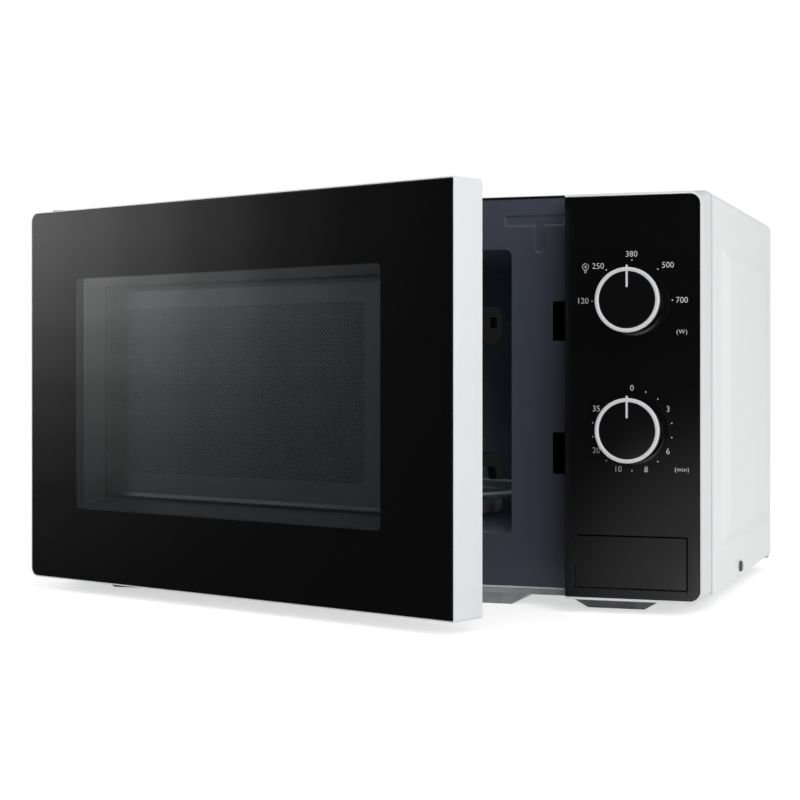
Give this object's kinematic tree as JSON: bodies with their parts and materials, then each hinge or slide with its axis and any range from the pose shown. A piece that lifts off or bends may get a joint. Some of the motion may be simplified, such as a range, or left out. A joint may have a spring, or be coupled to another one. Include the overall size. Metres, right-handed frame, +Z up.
{
  "type": "microwave oven",
  "caption": "Countertop microwave oven with a side-hung glass door held ajar, two turning dials, a release button and a glass turntable in an enamelled cavity.",
  "frame": {"origin": "bottom centre of the box round the oven with its door ajar, on the floor that the feet stand on", "axes": "+Z up; the dials and door face -Y; the door hinge is at -X and the control panel at +X"},
  "size_m": [0.4646, 0.4514, 0.2615],
  "materials": {
    "white_paint": "smooth powder coat, semi-gloss",
    "white_plastic": "moulded, low gloss",
    "galvanised": "zinc coated sheet",
    "enamel": "blue-grey enamel, satin",
    "black_gloss": "polished black",
    "black_plastic": "moulded black",
    "screen_paint": "black painted steel",
    "satin_metal": "satin trim ring",
    "steel": "plated steel",
    "door_glass": "tinted float glass with a printed border",
    "clear_glass": "pressed clear glass",
    "clear_film": "clear polyester sheet",
    "natural_plastic": "unpainted heat-proof moulding",
    "lamination": "varnished steel laminations",
    "copper": "enamelled copper wire",
    "aluminium": "plain aluminium",
    "mica": "mica sheet",
    "board": "phenolic circuit board"
  },
  "bodies": {
    "case": {"cabinet": "white_paint", "side_screw": "steel", "base_plate": "galvanised", "back_panel": "galvanised", "rear_spacer": "black_plastic", "cord_gland": "black_plastic", "front_frame": "enamel", "cavity": "enamel", "feed_cover": "mica", "upper_hinge": "steel", "lower_hinge": "steel", "panel_frame": "white_plastic", "fascia": "black_gloss", "button_spring": "steel", "timer_unit": "natural_plastic", "timer_motor": "aluminium", "timer_bell": "steel", "latch_body": "black_plastic", "lower_switch": "black_plastic", "middle_switch": "black_plastic", "upper_switch": "black_plastic", "waveguide": "galvanised", "magnetron_yoke": "galvanised", "magnetron_anode": "aluminium", "magnetron_filter": "galvanised", "transformer_core": "lamination", "primary_winding": "copper", "secondary_winding": "copper", "capacitor": "aluminium", "capacitor_strap": "galvanised", "diode": "black_plastic", "fan_shroud": "galvanised", "fan_motor": "lamination", "lamp_holder": "natural_plastic", "lamp_bulb": "clear_glass", "cavity_thermostat": "aluminium", "filter_board": "board", "turntable_motor": "galvanised"},
    "door": {"door_frame": "white_plastic", "door_glass": "door_glass", "screen_plate": "screen_paint", "window_film": "clear_film", "choke_cover": "black_plastic", "latch_spring": "steel"},
    "latch": {"latch_key": "black_plastic"},
    "release_button": {"release_button": "black_gloss"},
    "release_lever": {"release_lever": "natural_plastic"},
    "power_dial": {"power_knob": "black_plastic", "power_knob_ring": "satin_metal", "power_shaft": "natural_plastic"},
    "timer_dial": {"timer_knob": "black_plastic", "timer_knob_ring": "satin_metal", "timer_shaft": "natural_plastic"},
    "turntable": {"coupler": "natural_plastic"},
    "tray": {"glass_tray": "clear_glass"},
    "roller_ring": {"roller_ring": "natural_plastic"},
    "roller_1": {"roller_1": "natural_plastic"},
    "roller_2": {"roller_2": "natural_plastic"},
    "roller_3": {"roller_3": "natural_plastic"},
    "fan": {"fan": "natural_plastic"}
  },
  "joints": [
    {"name": "door_hinge", "type": "hinge", "parent": "case", "child": "door", "pos_m": [-0.21522, -0.07785, 0.1334], "axis": [0, 0, -1], "range_deg": [-20.8, 79.2]},
    {"name": "latch_slide", "type": "slide", "parent": "door", "child": "latch", "axis": [0, 0, 1], "range_m": [0, 0.004], "stiffness_N_per_m": 300, "springref_m": -0.003, "deforming": ["latch_spring"]},
    {"name": "button_press", "type": "slide", "parent": "case", "child": "release_button", "axis": [0, 1, 0], "range_m": [0, 0.0055], "stiffness_N_per_m": 400, "springref_m": -0.003, "deforming": ["button_spring"]},
    {"name": "lever_turn", "type": "hinge", "parent": "case", "child": "release_lever", "pos_m": [0.15978, -0.06435, 0.06], "axis": [1, 0, 0], "range_deg": [0, 18.1]},
    {"name": "power_dial_turn", "type": "hinge", "parent": "case", "child": "power_dial", "pos_m": [0.18678, -0.09985, 0.1921], "axis": [0, 1, 0], "range_deg": [-90, 90]},
    {"name": "timer_dial_turn", "type": "hinge", "parent": "case", "child": "timer_dial", "pos_m": [0.18678, -0.09985, 0.1134], "axis": [0, 1, 0], "range_deg": [0, 300]},
    {"name": "turntable_spin", "type": "hinge", "parent": "case", "child": "turntable", "pos_m": [-0.04072, 0.0614, 0.05], "axis": [0, 0, 1], "continuous": true},
    {"name": "tray_lift", "type": "slide", "parent": "turntable", "child": "tray", "axis": [0, 0, 1], "range_m": [0, 0.03]},
    {"name": "roller_ring_turn", "type": "hinge", "parent": "case", "child": "roller_ring", "pos_m": [-0.04072, 0.0614, 0.0511], "axis": [0, 0, 1], "continuous": true},
    {"name": "roller_1_roll", "type": "hinge", "parent": "roller_ring", "child": "roller_1", "pos_m": [0.04155, 0.1089, 0.0511], "axis": [0.866, 0.5, 0], "continuous": true},
    {"name": "roller_2_roll", "type": "hinge", "parent": "roller_ring", "child": "roller_2", "pos_m": [-0.12299, 0.1089, 0.0511], "axis": [-0.866, 0.5, 0], "continuous": true},
    {"name": "roller_3_roll", "type": "hinge", "parent": "roller_ring", "child": "roller_3", "pos_m": [-0.04072, -0.0336, 0.0511], "axis": [0, -1, 0], "continuous": true},
    {"name": "fan_spin", "type": "hinge", "parent": "case", "child": "fan", "pos_m": [0.16688, 0.17515, 0.1665], "axis": [0, 1, 0], "continuous": true}
  ],
  "couplings": [
    {"joint": "lever_turn", "follows": "button_press", "rad_per_m": 57.12},
    {"joint": "roller_ring_turn", "follows": "turntable_spin", "ratio": 0.5},
    {"joint": "roller_1_roll", "follows": "turntable_spin", "ratio": -6.7857},
    {"joint": "roller_2_roll", "follows": "turntable_spin", "ratio": -6.7857},
    {"joint": "roller_3_roll", "follows": "turntable_spin", "ratio": -6.7857}
  ]
}
